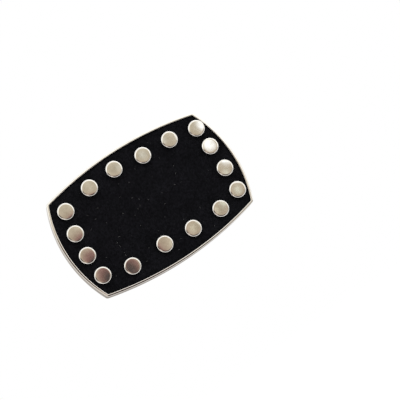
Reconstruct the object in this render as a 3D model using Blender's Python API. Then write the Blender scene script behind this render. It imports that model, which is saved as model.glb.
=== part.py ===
"""Plate belt buckle: cast frame with a raised rim, studded suede inlay, hinged strap bail and hook stud.

Every piece is modelled face up, with X along the buckle, Y up its height and Z towards the viewer.
The empty that carries them all then stands the buckle upright, with its face towards -Y.
The origin is the middle of the frame's flat back.
"""

import math

import bmesh
import bpy
from mathutils import Vector

MM = 0.001

# Clearances
BEDDING_GAP = 0.3 * MM
FIT_GAP = 0.3 * MM

# Frame outline: four sides that bow out between tight corners
FRAME_LENGTH = 102.4 * MM
FRAME_HEIGHT = 67.2 * MM
LONG_SIDE_BOW = 5.6 * MM
SHORT_SIDE_BOW = 6.2 * MM
CORNER_RADIUS = 1.8 * MM
INNER_CORNER_RADIUS = 0.9 * MM

# Frame section
FLOOR_THICKNESS = 1.6 * MM
BACK_EDGE_BEVEL = 0.5 * MM
RIM_WIDTH = 1.2 * MM
RIM_RISE = 0.9 * MM
RIM_OUTER_ROUND = 0.45 * MM
RIM_INNER_ROUND = 0.35 * MM

# Inlay
SUEDE_THICKNESS = 1.4 * MM
BOARD_THICKNESS = 1.6 * MM

# Rivet studs
CAP_DIAMETER = 9.0 * MM
CAP_HEIGHT = 2.3 * MM
CAP_EDGE_RADIUS = 0.8 * MM
CAP_WALL = 0.5 * MM
NECK_WALL = 0.6 * MM
POST_PIN_DIAMETER = 2.0 * MM
POST_FLANGE_DIAMETER = 7.6 * MM
POST_FLANGE_THICKNESS = 0.8 * MM

# Stud places: rows and columns at a setback from the rim, with the wander of hand setting
ROW_SETBACK = 9.0 * MM
COLUMN_SETBACK = 7.7 * MM
CORNER_STUD_SETBACK = 9.3 * MM
STUDS_IN_ROW = 6
STUDS_IN_COLUMN = 4
TOP_ROW_WANDER = ((1.9, 0.8), (2.3, 1.6), (1.9, 1.5), (2.1, -0.4), (2.1, 0.6), (1.0, 1.0))
BOTTOM_ROW_WANDER = ((-0.5, 1.2), (-1.7, -0.1), (1.9, 1.7), (2.4, 0.5), (3.8, -0.2), (0.6, 0.3))
LEFT_COLUMN_WANDER = ((0.9, 1.2), (-0.1, 1.2))
RIGHT_COLUMN_WANDER = ((0.3, 1.8), (0.3, 0.7))

# Strap bail and its lugs
STRAP_CLEAR_WIDTH = 41.0 * MM
STRAP_CLEAR_GAP = 4.5 * MM
WIRE_DIAMETER = 3.2 * MM
BAIL_REACH = 19.0 * MM
BAR_BEND_RADIUS = 3.8 * MM
PIN_BEND_RADIUS = 3.6 * MM
PIN_GRIP = 4.2 * MM
HINGE_FROM_END = 27.2 * MM
LUG_WIDTH = 5.0 * MM
LUG_WALL = 1.6 * MM
LUG_FOOT_LENGTH = 9.6 * MM
LUG_EDGE_BEVEL = 0.5 * MM

# Hook stud and its boss
HOOK_FROM_END = 15.2 * MM
BOSS_DIAMETER = 9.0 * MM
BOSS_HEIGHT = 1.0 * MM
TENON_DIAMETER = 3.4 * MM
PEEN_DIAMETER = 5.2 * MM
PEEN_THICKNESS = 0.4 * MM
SHANK_DIAMETER = 4.4 * MM
SHANK_LENGTH = 4.5 * MM
HOOK_HEAD_DIAMETER = 6.6 * MM
HOOK_HEAD_THICKNESS = 1.8 * MM

# Steps round curves
LONG_HALF_STEPS = 9
SHORT_HALF_STEPS = 6
CORNER_STEPS = 4
BEND_STEPS = 5
CAP_SEGMENTS = 18
POST_SEGMENTS = 14
HOLE_SEGMENTS = 12
HOOK_SEGMENTS = 20
BORE_SEGMENTS = 20
LUG_STEPS = 10
RIM_ROUND_STEPS = 3
CAP_EDGE_STEPS = 2
WIRE_BEVEL_RESOLUTION = 4

# Depths in front of the frame's back
FLOOR_FRONT = FLOOR_THICKNESS
FLANGE_BACK = FLOOR_FRONT + BEDDING_GAP
FLANGE_FRONT = FLANGE_BACK + POST_FLANGE_THICKNESS
BOARD_BACK = FLANGE_FRONT + BEDDING_GAP
BOARD_FRONT = BOARD_BACK + BOARD_THICKNESS
SUEDE_BACK = BOARD_FRONT + BEDDING_GAP
SUEDE_FRONT = SUEDE_BACK + SUEDE_THICKNESS
RIM_FRONT = SUEDE_FRONT + RIM_RISE
CAP_SEAT = SUEDE_FRONT + BEDDING_GAP

# Radii that follow from the fits
SOCKET_RADIUS = POST_PIN_DIAMETER / 2 + FIT_GAP
NECK_RADIUS = SOCKET_RADIUS + NECK_WALL
STUD_HOLE_RADIUS = NECK_RADIUS + FIT_GAP
WIRE_RADIUS = WIRE_DIAMETER / 2
PIN_BORE_RADIUS = WIRE_RADIUS + FIT_GAP
LUG_RADIUS = PIN_BORE_RADIUS + LUG_WALL

# Hinge and hook places that follow from the frame's ends and the bail
HINGE_X = FRAME_LENGTH / 2 - HINGE_FROM_END
HOOK_X = HOOK_FROM_END - FRAME_LENGTH / 2
HINGE_STANDOFF = STRAP_CLEAR_GAP + WIRE_RADIUS
ARM_Y = STRAP_CLEAR_WIDTH / 2 + WIRE_RADIUS
LUG_OUTER_Y = ARM_Y - PIN_BEND_RADIUS - FIT_GAP
LUG_MIDDLE_Y = LUG_OUTER_Y - LUG_WIDTH / 2
PIN_TIP_Y = LUG_OUTER_Y - PIN_GRIP

# The barrel's four sides as arcs
CORNER_X = FRAME_LENGTH / 2 - SHORT_SIDE_BOW
CORNER_Y = FRAME_HEIGHT / 2 - LONG_SIDE_BOW
LONG_ARC_RADIUS = (CORNER_X**2 + LONG_SIDE_BOW**2) / (2 * LONG_SIDE_BOW)
SHORT_ARC_RADIUS = (CORNER_Y**2 + SHORT_SIDE_BOW**2) / (2 * SHORT_SIDE_BOW)
LONG_ARC_CENTRE = Vector((0.0, FRAME_HEIGHT / 2 - LONG_ARC_RADIUS))
SHORT_ARC_CENTRE = Vector((FRAME_LENGTH / 2 - SHORT_ARC_RADIUS, 0.0))


def arc(centre, radius, start, end, steps):
    """Points along an arc, both ends included; the angles are in radians."""
    points = []
    for step in range(steps + 1):
        angle = start + (end - start) * step / steps
        points.append((centre[0] + radius * math.cos(angle), centre[1] + radius * math.sin(angle)))
    return points


def circle_crossing(first, first_radius, second, second_radius):
    """The crossing of two circles that lies in the upper right quarter."""
    apart = second - first
    along = (first_radius**2 - second_radius**2 + apart.length_squared) / (2 * apart.length)
    across = math.sqrt(first_radius**2 - along**2)
    foot = first + apart.normalized() * along
    side = Vector((-apart.y, apart.x)).normalized() * across
    return max((foot + side, foot - side), key=lambda point: point.x + point.y)


def barrel(inset):
    """The frame's outline, drawn in by an inset, counterclockwise from the right-hand side's middle."""
    long_radius = LONG_ARC_RADIUS - inset
    short_radius = SHORT_ARC_RADIUS - inset
    fillet = max(CORNER_RADIUS - inset, INNER_CORNER_RADIUS)
    centre = circle_crossing(LONG_ARC_CENTRE, long_radius - fillet, SHORT_ARC_CENTRE, short_radius - fillet)
    to_long = centre - LONG_ARC_CENTRE
    to_short = centre - SHORT_ARC_CENTRE
    long_angle = math.atan2(to_long.y, to_long.x)
    short_angle = math.atan2(to_short.y, to_short.x)
    quarter = arc(SHORT_ARC_CENTRE, short_radius, 0.0, short_angle, SHORT_HALF_STEPS)
    quarter += arc(centre, fillet, short_angle, long_angle, CORNER_STEPS)[1:]
    quarter += arc(LONG_ARC_CENTRE, long_radius, long_angle, math.pi / 2, LONG_HALF_STEPS)[1:]
    upper = quarter + [(-x, y) for x, y in reversed(quarter[:-1])]
    return upper + [(x, -y) for x, y in reversed(upper[1:-1])]


def rim_inner_y(x):
    """Height of the upper rim's inner edge above the middle."""
    return LONG_ARC_CENTRE.y + math.sqrt((LONG_ARC_RADIUS - RIM_WIDTH) ** 2 - x**2)


def rim_inner_x(y):
    """Distance of the right-hand rim's inner edge from the middle."""
    return SHORT_ARC_CENTRE.x + math.sqrt((SHORT_ARC_RADIUS - RIM_WIDTH) ** 2 - y**2)


def stud_places():
    """Where the studs sit: along the top row, down the right, back along the bottom row and up the left."""
    end_x = FRAME_LENGTH / 2 - RIM_WIDTH - CORNER_STUD_SETBACK
    end_y = rim_inner_y(end_x) - ROW_SETBACK
    row_step = 2 * end_x / (STUDS_IN_ROW - 1)
    column_step = 2 * end_y / (STUDS_IN_COLUMN - 1)

    def row(side, wander):
        places = []
        for index, (along, up) in enumerate(wander):
            x = -end_x + index * row_step
            places.append((x + along * MM, side * (rim_inner_y(x) - ROW_SETBACK) + up * MM))
        return places

    def column(side, wander):
        places = []
        for index, (along, up) in enumerate(wander):
            y = end_y - (index + 1) * column_step
            places.append((side * (rim_inner_x(y) - COLUMN_SETBACK) + along * MM, y + up * MM))
        return places

    top = row(1, TOP_ROW_WANDER)
    right = column(1, RIGHT_COLUMN_WANDER)
    bottom = row(-1, BOTTOM_ROW_WANDER)
    left = column(-1, LEFT_COLUMN_WANDER)
    return top + right + bottom[::-1] + left[::-1]


def material(name, colour, roughness, metallic):
    """A plain surface of one colour."""
    made = bpy.data.materials.new(name)
    made.use_nodes = True
    shader = made.node_tree.nodes["Principled BSDF"]
    shader.inputs["Base Color"].default_value = (*colour, 1.0)
    shader.inputs["Roughness"].default_value = roughness
    shader.inputs["Metallic"].default_value = metallic
    return made


def put(name, data, parent, location=(0.0, 0.0, 0.0), finish=None):
    """Add an object to the scene under its parent."""
    made = bpy.data.objects.new(name, data)
    made.parent = parent
    made.location = location
    if finish:
        data.materials.append(finish)
    bpy.context.scene.collection.objects.link(made)
    return made


def helper(name, data, parent, location=(0.0, 0.0, 0.0)):
    """A shape that only serves to join to another or to cut it."""
    made = put(name, data, parent, location)
    made.hide_render = True
    made.display_type = "WIRE"
    return made


def mesh_from(name, bm, smooth_under=35.0):
    """Close a bmesh into a mesh whose faces point out and whose round faces are smooth."""
    bmesh.ops.recalc_face_normals(bm, faces=bm.faces)
    mesh = bpy.data.meshes.new(name)
    bm.to_mesh(mesh)
    bm.free()
    mesh.shade_smooth()
    mesh.set_sharp_from_angle(angle=math.radians(smooth_under))
    return mesh


def lofted(name, rings):
    """A solid through rings of points, closed by a flat face at each end."""
    bm = bmesh.new()
    loops = [[bm.verts.new(point) for point in ring] for ring in rings]
    for lower, upper in zip(loops, loops[1:]):
        for index in range(len(lower)):
            following = (index + 1) % len(lower)
            bm.faces.new((lower[index], lower[following], upper[following], upper[index]))
    bm.faces.new(loops[0])
    bm.faces.new(loops[-1])
    return mesh_from(name, bm)


def turned(name, profile, segments):
    """A solid turned about Z from (radius, depth) points whose two ends lie on the axis."""
    bm = bmesh.new()
    points = [bm.verts.new((radius, 0.0, depth)) for radius, depth in profile]
    edges = [bm.edges.new(pair) for pair in zip(points, points[1:])]
    bmesh.ops.spin(
        bm,
        geom=points + edges,
        cent=(0.0, 0.0, 0.0),
        axis=(0.0, 0.0, 1.0),
        angle=math.tau,
        steps=segments,
        use_merge=True,
    )
    bmesh.ops.remove_doubles(bm, verts=bm.verts, dist=0.001 * MM)
    return mesh_from(name, bm)


def punched_leaf(name, outline, holes, hole_radius, thickness):
    """A flat leaf with round holes, as a filled curve with a thickness, half on each side of Z = 0."""
    leaf = bpy.data.curves.new(name, "CURVE")
    leaf.dimensions = "2D"
    leaf.fill_mode = "BOTH"
    leaf.extrude = thickness / 2
    rounds = [arc(hole, hole_radius, 0.0, math.tau, HOLE_SEGMENTS)[:-1] for hole in holes]
    for points in [outline] + rounds:
        spline = leaf.splines.new("POLY")
        spline.points.add(len(points) - 1)
        for point, (x, y) in zip(spline.points, points):
            point.co = (x, y, 0.0, 1.0)
        spline.use_cyclic_u = True
    return leaf


def frame_mesh():
    """The tray: flat back, bevelled edge, outer wall, the rim with its rounded edges, inner wall and floor."""
    outer_centre = (RIM_OUTER_ROUND, RIM_FRONT - RIM_OUTER_ROUND)
    inner_centre = (RIM_WIDTH - RIM_INNER_ROUND, RIM_FRONT - RIM_INNER_ROUND)
    section = [(BACK_EDGE_BEVEL, 0.0), (0.0, BACK_EDGE_BEVEL)]
    section += arc(outer_centre, RIM_OUTER_ROUND, math.pi, math.pi / 2, RIM_ROUND_STEPS)
    section += arc(inner_centre, RIM_INNER_ROUND, math.pi / 2, 0.0, RIM_ROUND_STEPS)
    section.append((RIM_WIDTH, FLOOR_FRONT))
    return lofted("buckle_frame", [[(x, y, depth) for x, y in barrel(inset)] for inset, depth in section])


def lug_mesh():
    """A hinge lug: a rounded arch on a broad foot that is sunk half way into the frame's floor."""
    foot = LUG_FOOT_LENGTH / 2
    sunk = FLOOR_THICKNESS / 2
    outline = [(foot, sunk), (foot, 0.0)]
    outline += arc((0.0, -HINGE_STANDOFF), LUG_RADIUS, 0.0, -math.pi, LUG_STEPS)
    outline += [(-foot, 0.0), (-foot, sunk)]
    half = LUG_WIDTH / 2
    return lofted("lug", [[(x, side, z) for x, z in outline] for side in (-half, half)])


def bevelled(thing, width):
    """Soften an object's sharp edges."""
    bevel = thing.modifiers.new("edges", "BEVEL")
    bevel.width = width
    bevel.segments = 1
    bevel.limit_method = "ANGLE"
    bevel.angle_limit = math.radians(40.0)


def boss_profile():
    """The low round boss under the hook stud's shoulder, sunk half way into the frame's floor."""
    foot = BOSS_DIAMETER / 2
    top = foot - BOSS_HEIGHT / 2
    sunk = FLOOR_THICKNESS / 2
    return [(0.0, -BOSS_HEIGHT), (top, -BOSS_HEIGHT), (foot, 0.0), (foot, sunk), (0.0, sunk)]


def pin_bore_profile():
    """The bore through both lugs that takes the bail's ends."""
    half = LUG_OUTER_Y + LUG_WIDTH
    return [(0.0, -half), (PIN_BORE_RADIUS, -half), (PIN_BORE_RADIUS, half), (0.0, half)]


def hook_bore_profile():
    """The stepped hole that takes the hook stud's tenon and its peened end."""
    tenon = TENON_DIAMETER / 2 + FIT_GAP
    peen = PEEN_DIAMETER / 2 + FIT_GAP
    step = FLOOR_FRONT - PEEN_THICKNESS - FIT_GAP
    past_front = FLOOR_FRONT + FLOOR_THICKNESS
    past_back = -2 * BOSS_HEIGHT
    profile = [(0.0, past_back), (tenon, past_back), (tenon, step)]
    return profile + [(peen, step), (peen, past_front), (0.0, past_front)]


def make_frame(parent, finish):
    """The cast frame with its two lugs, the hook stud's boss and the bores."""
    frame = put("buckle_frame", frame_mesh(), parent, finish=finish)
    joined = []
    for name, side in (("upper_lug", 1), ("lower_lug", -1)):
        lug = helper(name, lug_mesh(), parent, (HINGE_X, side * LUG_MIDDLE_Y, 0.0))
        bevelled(lug, LUG_EDGE_BEVEL)
        joined.append(lug)
    boss = turned("hook_boss", boss_profile(), HOOK_SEGMENTS)
    joined.append(helper("hook_boss", boss, parent, (HOOK_X, 0.0, 0.0)))
    stepped = turned("hook_bore", hook_bore_profile(), HOOK_SEGMENTS)
    hook_bore = helper("hook_bore", stepped, parent, (HOOK_X, 0.0, 0.0))
    through = turned("pin_bore", pin_bore_profile(), BORE_SEGMENTS)
    pin_bore = helper("pin_bore", through, parent, (HINGE_X, 0.0, -HINGE_STANDOFF))
    pin_bore.rotation_euler = (math.pi / 2, 0.0, 0.0)
    for operation, operands in (("UNION", joined), ("DIFFERENCE", [hook_bore, pin_bore])):
        for operand in operands:
            boolean = frame.modifiers.new(operand.name, "BOOLEAN")
            boolean.operation = operation
            boolean.solver = "EXACT"
            boolean.object = operand


def make_inlay(parent, places, suede, board):
    """The suede leaf and the board that it is mounted on, both punched for the studs' necks."""
    outline = barrel(RIM_WIDTH + BEDDING_GAP)
    layers = (
        ("suede_inlay", SUEDE_BACK, SUEDE_THICKNESS, suede),
        ("inlay_board", BOARD_BACK, BOARD_THICKNESS, board),
    )
    for name, back, thickness, finish in layers:
        leaf = punched_leaf(name, outline, places, STUD_HOLE_RADIUS, thickness)
        put(name, leaf, parent, (0.0, 0.0, back + thickness / 2), finish)


def make_studs(parent, places, finish):
    """Each stud is a hollow cap, whose neck goes through the inlay, and a post whose pin goes up the neck."""
    radius = CAP_DIAMETER / 2
    neck_tip = BOARD_BACK - CAP_SEAT
    ceiling = CAP_HEIGHT - CAP_WALL
    skirt = radius - CAP_WALL
    edge_centre = (radius - CAP_EDGE_RADIUS, CAP_HEIGHT - CAP_EDGE_RADIUS)
    cap_profile = [(0.0, CAP_HEIGHT)]
    cap_profile += arc(edge_centre, CAP_EDGE_RADIUS, math.pi / 2, 0.0, CAP_EDGE_STEPS)
    cap_profile += [(radius, 0.0), (skirt, 0.0), (skirt, ceiling), (NECK_RADIUS, ceiling)]
    cap_profile += [(NECK_RADIUS, neck_tip), (SOCKET_RADIUS, neck_tip)]
    cap_profile += [(SOCKET_RADIUS, ceiling), (0.0, ceiling)]
    cap = turned("stud_cap", cap_profile, CAP_SEGMENTS)

    pin_radius = POST_PIN_DIAMETER / 2
    pin_top = CAP_SEAT + ceiling - FIT_GAP - FLANGE_BACK
    flange_radius = POST_FLANGE_DIAMETER / 2
    post_profile = [(0.0, 0.0), (flange_radius, 0.0), (flange_radius, POST_FLANGE_THICKNESS)]
    post_profile += [(pin_radius, POST_FLANGE_THICKNESS), (pin_radius, pin_top), (0.0, pin_top)]
    post = turned("stud_post", post_profile, POST_SEGMENTS)

    cap.materials.append(finish)
    post.materials.append(finish)
    for number, (x, y) in enumerate(places, start=1):
        put(f"stud_cap_{number:02d}", cap, parent, (x, y, CAP_SEAT))
        put(f"stud_post_{number:02d}", post, parent, (x, y, FLANGE_BACK))


def make_bail(parent, finish):
    """The strap bail: one wire from pin to pin, round the strap's width; its origin is on the hinge axis."""
    pin_corner = (PIN_BEND_RADIUS, ARM_Y - PIN_BEND_RADIUS)
    bar_corner = (BAIL_REACH - BAR_BEND_RADIUS, ARM_Y - BAR_BEND_RADIUS)
    upper = [(0.0, PIN_TIP_Y)]
    upper += arc(pin_corner, PIN_BEND_RADIUS, math.pi, math.pi / 2, BEND_STEPS)
    upper += arc(bar_corner, BAR_BEND_RADIUS, math.pi / 2, 0.0, BEND_STEPS)
    route = upper + [(x, -y) for x, y in reversed(upper)]
    wire = bpy.data.curves.new("strap_bail", "CURVE")
    wire.dimensions = "3D"
    wire.bevel_depth = WIRE_RADIUS
    wire.bevel_resolution = WIRE_BEVEL_RESOLUTION
    wire.use_fill_caps = True
    spline = wire.splines.new("POLY")
    spline.points.add(len(route) - 1)
    for point, (x, y) in zip(spline.points, route):
        point.co = (x, y, 0.0, 1.0)
    put("strap_bail", wire, parent, (HINGE_X, 0.0, -HINGE_STANDOFF), finish)


def make_hook_stud(parent, finish):
    """The hook stud: a tenon peened over in the floor, a shoulder on the boss, a shank and a round head."""
    tenon = TENON_DIAMETER / 2
    peen = PEEN_DIAMETER / 2
    shank = SHANK_DIAMETER / 2
    head = HOOK_HEAD_DIAMETER / 2
    shoulder = -BOSS_HEIGHT - FIT_GAP
    head_base = shoulder - SHANK_LENGTH
    crown = head_base - HOOK_HEAD_THICKNESS
    swell = HOOK_HEAD_THICKNESS / 2
    profile = [(0.0, FLOOR_FRONT), (peen, FLOOR_FRONT), (peen, FLOOR_FRONT - PEEN_THICKNESS)]
    profile += [(tenon, FLOOR_FRONT - PEEN_THICKNESS), (tenon, shoulder), (shank, shoulder)]
    profile += [(shank, head_base + swell), (head, head_base), (head, head_base - swell / 2)]
    profile += [((shank + head) / 2, crown + swell / 4), (shank / 2, crown), (0.0, crown)]
    stud = turned("hook_stud", profile, HOOK_SEGMENTS)
    put("hook_stud", stud, parent, (HOOK_X, 0.0, 0.0), finish)


def main():
    for old in list(bpy.data.objects):
        bpy.data.objects.remove(old)
    nickel = material("polished_nickel", (0.72, 0.70, 0.66), 0.22, 1.0)
    satin_nickel = material("satin_nickel", (0.66, 0.60, 0.52), 0.32, 1.0)
    steel = material("bright_steel", (0.62, 0.61, 0.59), 0.28, 1.0)
    suede = material("black_suede", (0.012, 0.011, 0.013), 0.95, 0.0)
    fibre = material("fibre_board", (0.16, 0.11, 0.07), 0.9, 0.0)

    upright = bpy.data.objects.new("upright", None)
    upright.rotation_euler = (math.pi / 2, 0.0, 0.0)
    bpy.context.scene.collection.objects.link(upright)

    places = stud_places()
    make_frame(upright, nickel)
    make_inlay(upright, places, suede, fibre)
    make_studs(upright, places, satin_nickel)
    make_bail(upright, steel)
    make_hook_stud(upright, steel)


main()
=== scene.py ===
"""Looks of the studded plate buckle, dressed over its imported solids.

The buckle stands upright as it is worn: X runs along it, Z up it, and its face looks towards -Y.
Shapes are drawn on the face as (along, up, depth), with the depth measured forwards from the flat back.
"""

import math
import random
from collections import namedtuple

import bmesh
import bpy
from mathutils import Euler, Matrix, Vector, geometry, noise


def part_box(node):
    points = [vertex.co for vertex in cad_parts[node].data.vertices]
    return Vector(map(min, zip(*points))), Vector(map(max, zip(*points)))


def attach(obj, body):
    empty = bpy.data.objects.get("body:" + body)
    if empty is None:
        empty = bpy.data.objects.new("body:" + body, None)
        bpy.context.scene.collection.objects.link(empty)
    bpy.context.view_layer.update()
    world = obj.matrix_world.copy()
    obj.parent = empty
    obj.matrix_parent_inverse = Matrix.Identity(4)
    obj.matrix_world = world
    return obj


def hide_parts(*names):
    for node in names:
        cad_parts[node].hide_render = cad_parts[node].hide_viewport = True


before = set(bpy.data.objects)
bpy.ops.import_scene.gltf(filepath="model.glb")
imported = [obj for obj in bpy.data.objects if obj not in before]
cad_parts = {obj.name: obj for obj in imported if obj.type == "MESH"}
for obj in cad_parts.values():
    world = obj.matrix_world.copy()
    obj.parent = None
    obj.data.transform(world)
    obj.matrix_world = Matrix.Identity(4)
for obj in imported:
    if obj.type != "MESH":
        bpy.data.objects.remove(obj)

MM = 0.001
DEPTH_AXIS = Vector((0.0, 1.0, 0.0))
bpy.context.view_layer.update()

# Sizes read from the solids; the hook's tenon ends level with the tray's floor
frame_low, frame_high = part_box("buckle_frame")
suede_low, suede_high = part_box("suede_inlay")
cap_low, cap_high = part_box("stud_cap_01")
hook_low, hook_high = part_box("hook_stud")
bail_low, bail_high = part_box("strap_bail")
FRAME_LENGTH = frame_high.x - frame_low.x
FRAME_HEIGHT = frame_high.z - frame_low.z
RIM_FRONT = -frame_low.y
SUEDE_FRONT = -suede_low.y
SUEDE_BACK = -suede_high.y
FLOOR_FRONT = -hook_low.y
CAP_FRONT = -cap_low.y
CAP_BACK = -cap_high.y
CAP_RADIUS = (cap_high.x - cap_low.x) / 2
HOOK_X = (hook_low.x + hook_high.x) / 2
HOOK_CROWN = -hook_high.y
WIRE_RADIUS = (bail_high.y - bail_low.y) / 2
HINGE_STANDOFF = (bail_high.y + bail_low.y) / 2
HINGE_X = bail_low.x + WIRE_RADIUS
BAIL_REACH = bail_high.x - WIRE_RADIUS - HINGE_X
ARM_Z = bail_high.z - WIRE_RADIUS

# Frame outline and section
LONG_SIDE_BOW = 5.6 * MM
SHORT_SIDE_BOW = 6.2 * MM
CORNER_RADIUS = 1.8 * MM
INNER_CORNER_RADIUS = 0.9 * MM
BACK_EDGE_ROUND = 0.5 * MM
RIM_WIDTH = 1.2 * MM
RIM_CREST = 0.85 * MM
RIM_OUTER_DROP = 0.38 * MM
RIM_INNER_DROP = 0.2 * MM

# How tarnished the frame is, from 0 to 1; on the rim's shoulder the darkening is painted shade
WALL_TARNISH = 0.3
# Painted shade: the rim's shoulder is darkened to draw the dark line that its bend reflects
SHOULDER_PAINTED_SHADE = 0.12
INNER_WALL_TARNISH = 0.6
FLOOR_TARNISH = 1.0

# Studs
CAP_CROWN = 0.03 * MM
CAP_TAPER = 0.12 * MM
CAP_EDGE_WIDTH = 0.85 * MM
CAP_EDGE_DROP = 0.55 * MM
CAP_POLISH_FADE = CAP_EDGE_WIDTH / 3
CAP_ROLL = 0.2 * MM
CAP_WALL = 0.5 * MM
NECK_RADIUS = 1.9 * MM
SOCKET_RADIUS = 1.3 * MM
CAP_LEAN = math.radians(0.5)
CAP_SEED = 16
GLINTING_CAP = "stud_cap_07"
GLINT_LEAN = math.radians(1.5)

# Suede
SUEDE_RIM_GAP = 0.1 * MM
SUEDE_HOLE_RADIUS = 2.2 * MM
SUEDE_MESH_STEP = 1.0 * MM
SUEDE_SWELL = 0.07 * MM
SUEDE_SWELL_SIZE = 7.0 * MM
SUEDE_NAP = 0.035 * MM
SUEDE_NAP_SIZE = 1.5 * MM
SUEDE_SHARP_ANGLE = 60.0
DIMPLE_DEPTH = 0.25 * MM
DIMPLE_REACH = 2.2 * MM
TUCK_DEPTH = 0.4 * MM
TUCK_REACH = 1.3 * MM

# Lint on the suede
LINT_COUNT = 42
LINT_SEED = 7
LINT_RADIUS = 0.055 * MM
LINT_EDGE_GAP = 4 * RIM_WIDTH
LINT_BEND = 0.7
LINT_LEAST_STEP = 0.10 * MM
LINT_MOST_STEP = 0.28 * MM
LINT_POINTS = 5
LINT_SIDES = 6

# Bail, lugs, boss and hook
BAR_BEND_RADIUS = 3.8 * MM
PIN_BEND_RADIUS = 3.6 * MM
PIN_GRIP = 4.2 * MM
PIN_TIP_ROUND = 0.5 * MM
FIT_GAP = 0.3 * MM
LUG_WIDTH = 5.0 * MM
LUG_WALL = 1.6 * MM
LUG_FOOT_LENGTH = 9.6 * MM
LUG_EDGE_ROUND = 0.5 * MM
LUG_FILLET = 0.9 * MM
BORE_FLARE_SHARE = 0.5
BOSS_RADIUS = 4.5 * MM
BOSS_HEIGHT = 1.0 * MM
BOSS_FILLET = 0.7 * MM
BOSS_TAPER = 0.25 * MM
BOSS_SHOULDER_ROUND = 0.25 * MM
SHANK_RADIUS = 2.2 * MM
HOOK_HEAD_RADIUS = 3.3 * MM
HOOK_HEAD_THICKNESS = 1.8 * MM
CAST_SUNK = 0.6 * MM

# Steps round curves, and tolerances of the meshes
LONG_HALF_STEPS = 40
SHORT_HALF_STEPS = 28
CORNER_STEPS = 10
ROUND_STEPS = 6
RIM_STEPS = 9
CAP_SEGMENTS = 72
HOOK_SEGMENTS = 64
HOLE_SEGMENTS = 24
BEND_STEPS = 14
WIRE_SIDES = 28
LUG_ARC_STEPS = 28
LUG_SIDE_STEPS = 8
LUG_FOOT_STEPS = 14
SHARP_ANGLE = 40.0
MERGE_DISTANCE = 0.001 * MM
HOLE_TOLERANCE = 0.98

# The barrel's four sides as arcs
CORNER_X = FRAME_LENGTH / 2 - SHORT_SIDE_BOW
CORNER_Y = FRAME_HEIGHT / 2 - LONG_SIDE_BOW
LONG_ARC_RADIUS = (CORNER_X**2 + LONG_SIDE_BOW**2) / (2 * LONG_SIDE_BOW)
SHORT_ARC_RADIUS = (CORNER_Y**2 + SHORT_SIDE_BOW**2) / (2 * SHORT_SIDE_BOW)
LONG_ARC_CENTRE = Vector((0.0, FRAME_HEIGHT / 2 - LONG_ARC_RADIUS))
SHORT_ARC_CENTRE = Vector((FRAME_LENGTH / 2 - SHORT_ARC_RADIUS, 0.0))

# Worked out from the sizes above
SUEDE_INSET = RIM_WIDTH + SUEDE_RIM_GAP
CAP_HEIGHT = CAP_FRONT - SUEDE_FRONT + DIMPLE_DEPTH
CAP_SEAT = CAP_FRONT - CAP_HEIGHT
CAP_FACE_RADIUS = CAP_RADIUS - CAP_TAPER - CAP_EDGE_WIDTH
BORE_RADIUS = WIRE_RADIUS + FIT_GAP
LUG_OUTER_Z = ARM_Z - PIN_BEND_RADIUS - FIT_GAP
LUG_MIDDLE_Z = LUG_OUTER_Z - LUG_WIDTH / 2

# Colours of the metals, and the tint of the polished one at a glancing angle
POLISHED_BRIGHT = (0.86, 0.84, 0.79)
POLISHED_DULL = (0.80, 0.77, 0.71)
# Dark of the frame's tarnish, also laid on the rim's shoulder as painted shade
POLISHED_TARNISH_AND_SHADE = (0.16, 0.13, 0.10)
SATIN_BRIGHT = (0.71, 0.67, 0.585)
SATIN_DULL = (0.56, 0.52, 0.435)
SATIN_RUBBED = (0.88, 0.86, 0.81)
DRAWN_BRIGHT = (0.66, 0.63, 0.58)
DRAWN_DULL = (0.56, 0.53, 0.47)
CAST_BRIGHT = (0.62, 0.585, 0.525)
CAST_DULL = (0.47, 0.435, 0.38)
GLANCING_TINT = (0.69, 0.66, 0.64, 1.0)

# Roughness of the metals, and what scratches, tarnish and rubbing do to it
POLISHED_GLOSS = 0.05
POLISHED_SCRATCH = 0.04
SATIN_GLOSS = 0.07
SATIN_SCRATCH = 0.06
DRAWN_GLOSS = 0.16
DRAWN_SCRATCH = 0.16
CAST_ROUGHNESS = (0.26, 0.42)
TARNISH_ROUGHNESS = 0.25
RUBBED_SHARE = 0.4

# Colours and roughness of the suede, its lint and the board
SUEDE_DEEP = (0.0008, 0.0008, 0.0011)
SUEDE_RAISED = (0.0163, 0.0160, 0.0205)
SUEDE_SPECK = (0.06, 0.058, 0.056)
SUEDE_ROUGHNESS = (0.88, 1.0)
SUEDE_SHINE = 0.05
SHEEN_WEIGHT = 0.01
SHEEN_ROUGHNESS = 0.45
SHEEN_TINT = (0.7, 0.7, 0.75, 1.0)
LINT_DARK = (0.03, 0.03, 0.031)
LINT_PALE = (0.20, 0.195, 0.19)
LINT_ROUGHNESS = 0.9
BOARD_DARK = (0.10, 0.065, 0.04)
BOARD_PALE = (0.24, 0.17, 0.11)
BOARD_ROUGHNESS = (0.8, 0.95)

# Size, stretch and depth of the grain in the metals
CLOUD_SIZE = 4.0 * MM
CAST_CLOUD_SIZE = 9.0 * MM
WIPE_SIZE = 0.5 * MM
WIPE_STRETCH = (0.12, 1.0, 1.0)
WIPE_TURN = (0.0, 0.5, 0.0)
CROSS_WIPE_SIZE = 0.4 * MM
CROSS_WIPE_STRETCH = (1.0, 1.0, 0.1)
CROSS_WIPE_TURN = (0.0, -0.3, 0.0)
SCRATCH_DEPTH = 0.004 * MM
WAVE_SIZE = 4.0 * MM
WAVE_DEPTH = 0.02 * MM
CAST_SKIN_SIZE = 0.7 * MM
CAST_SKIN_DEPTH = 0.03 * MM

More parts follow.
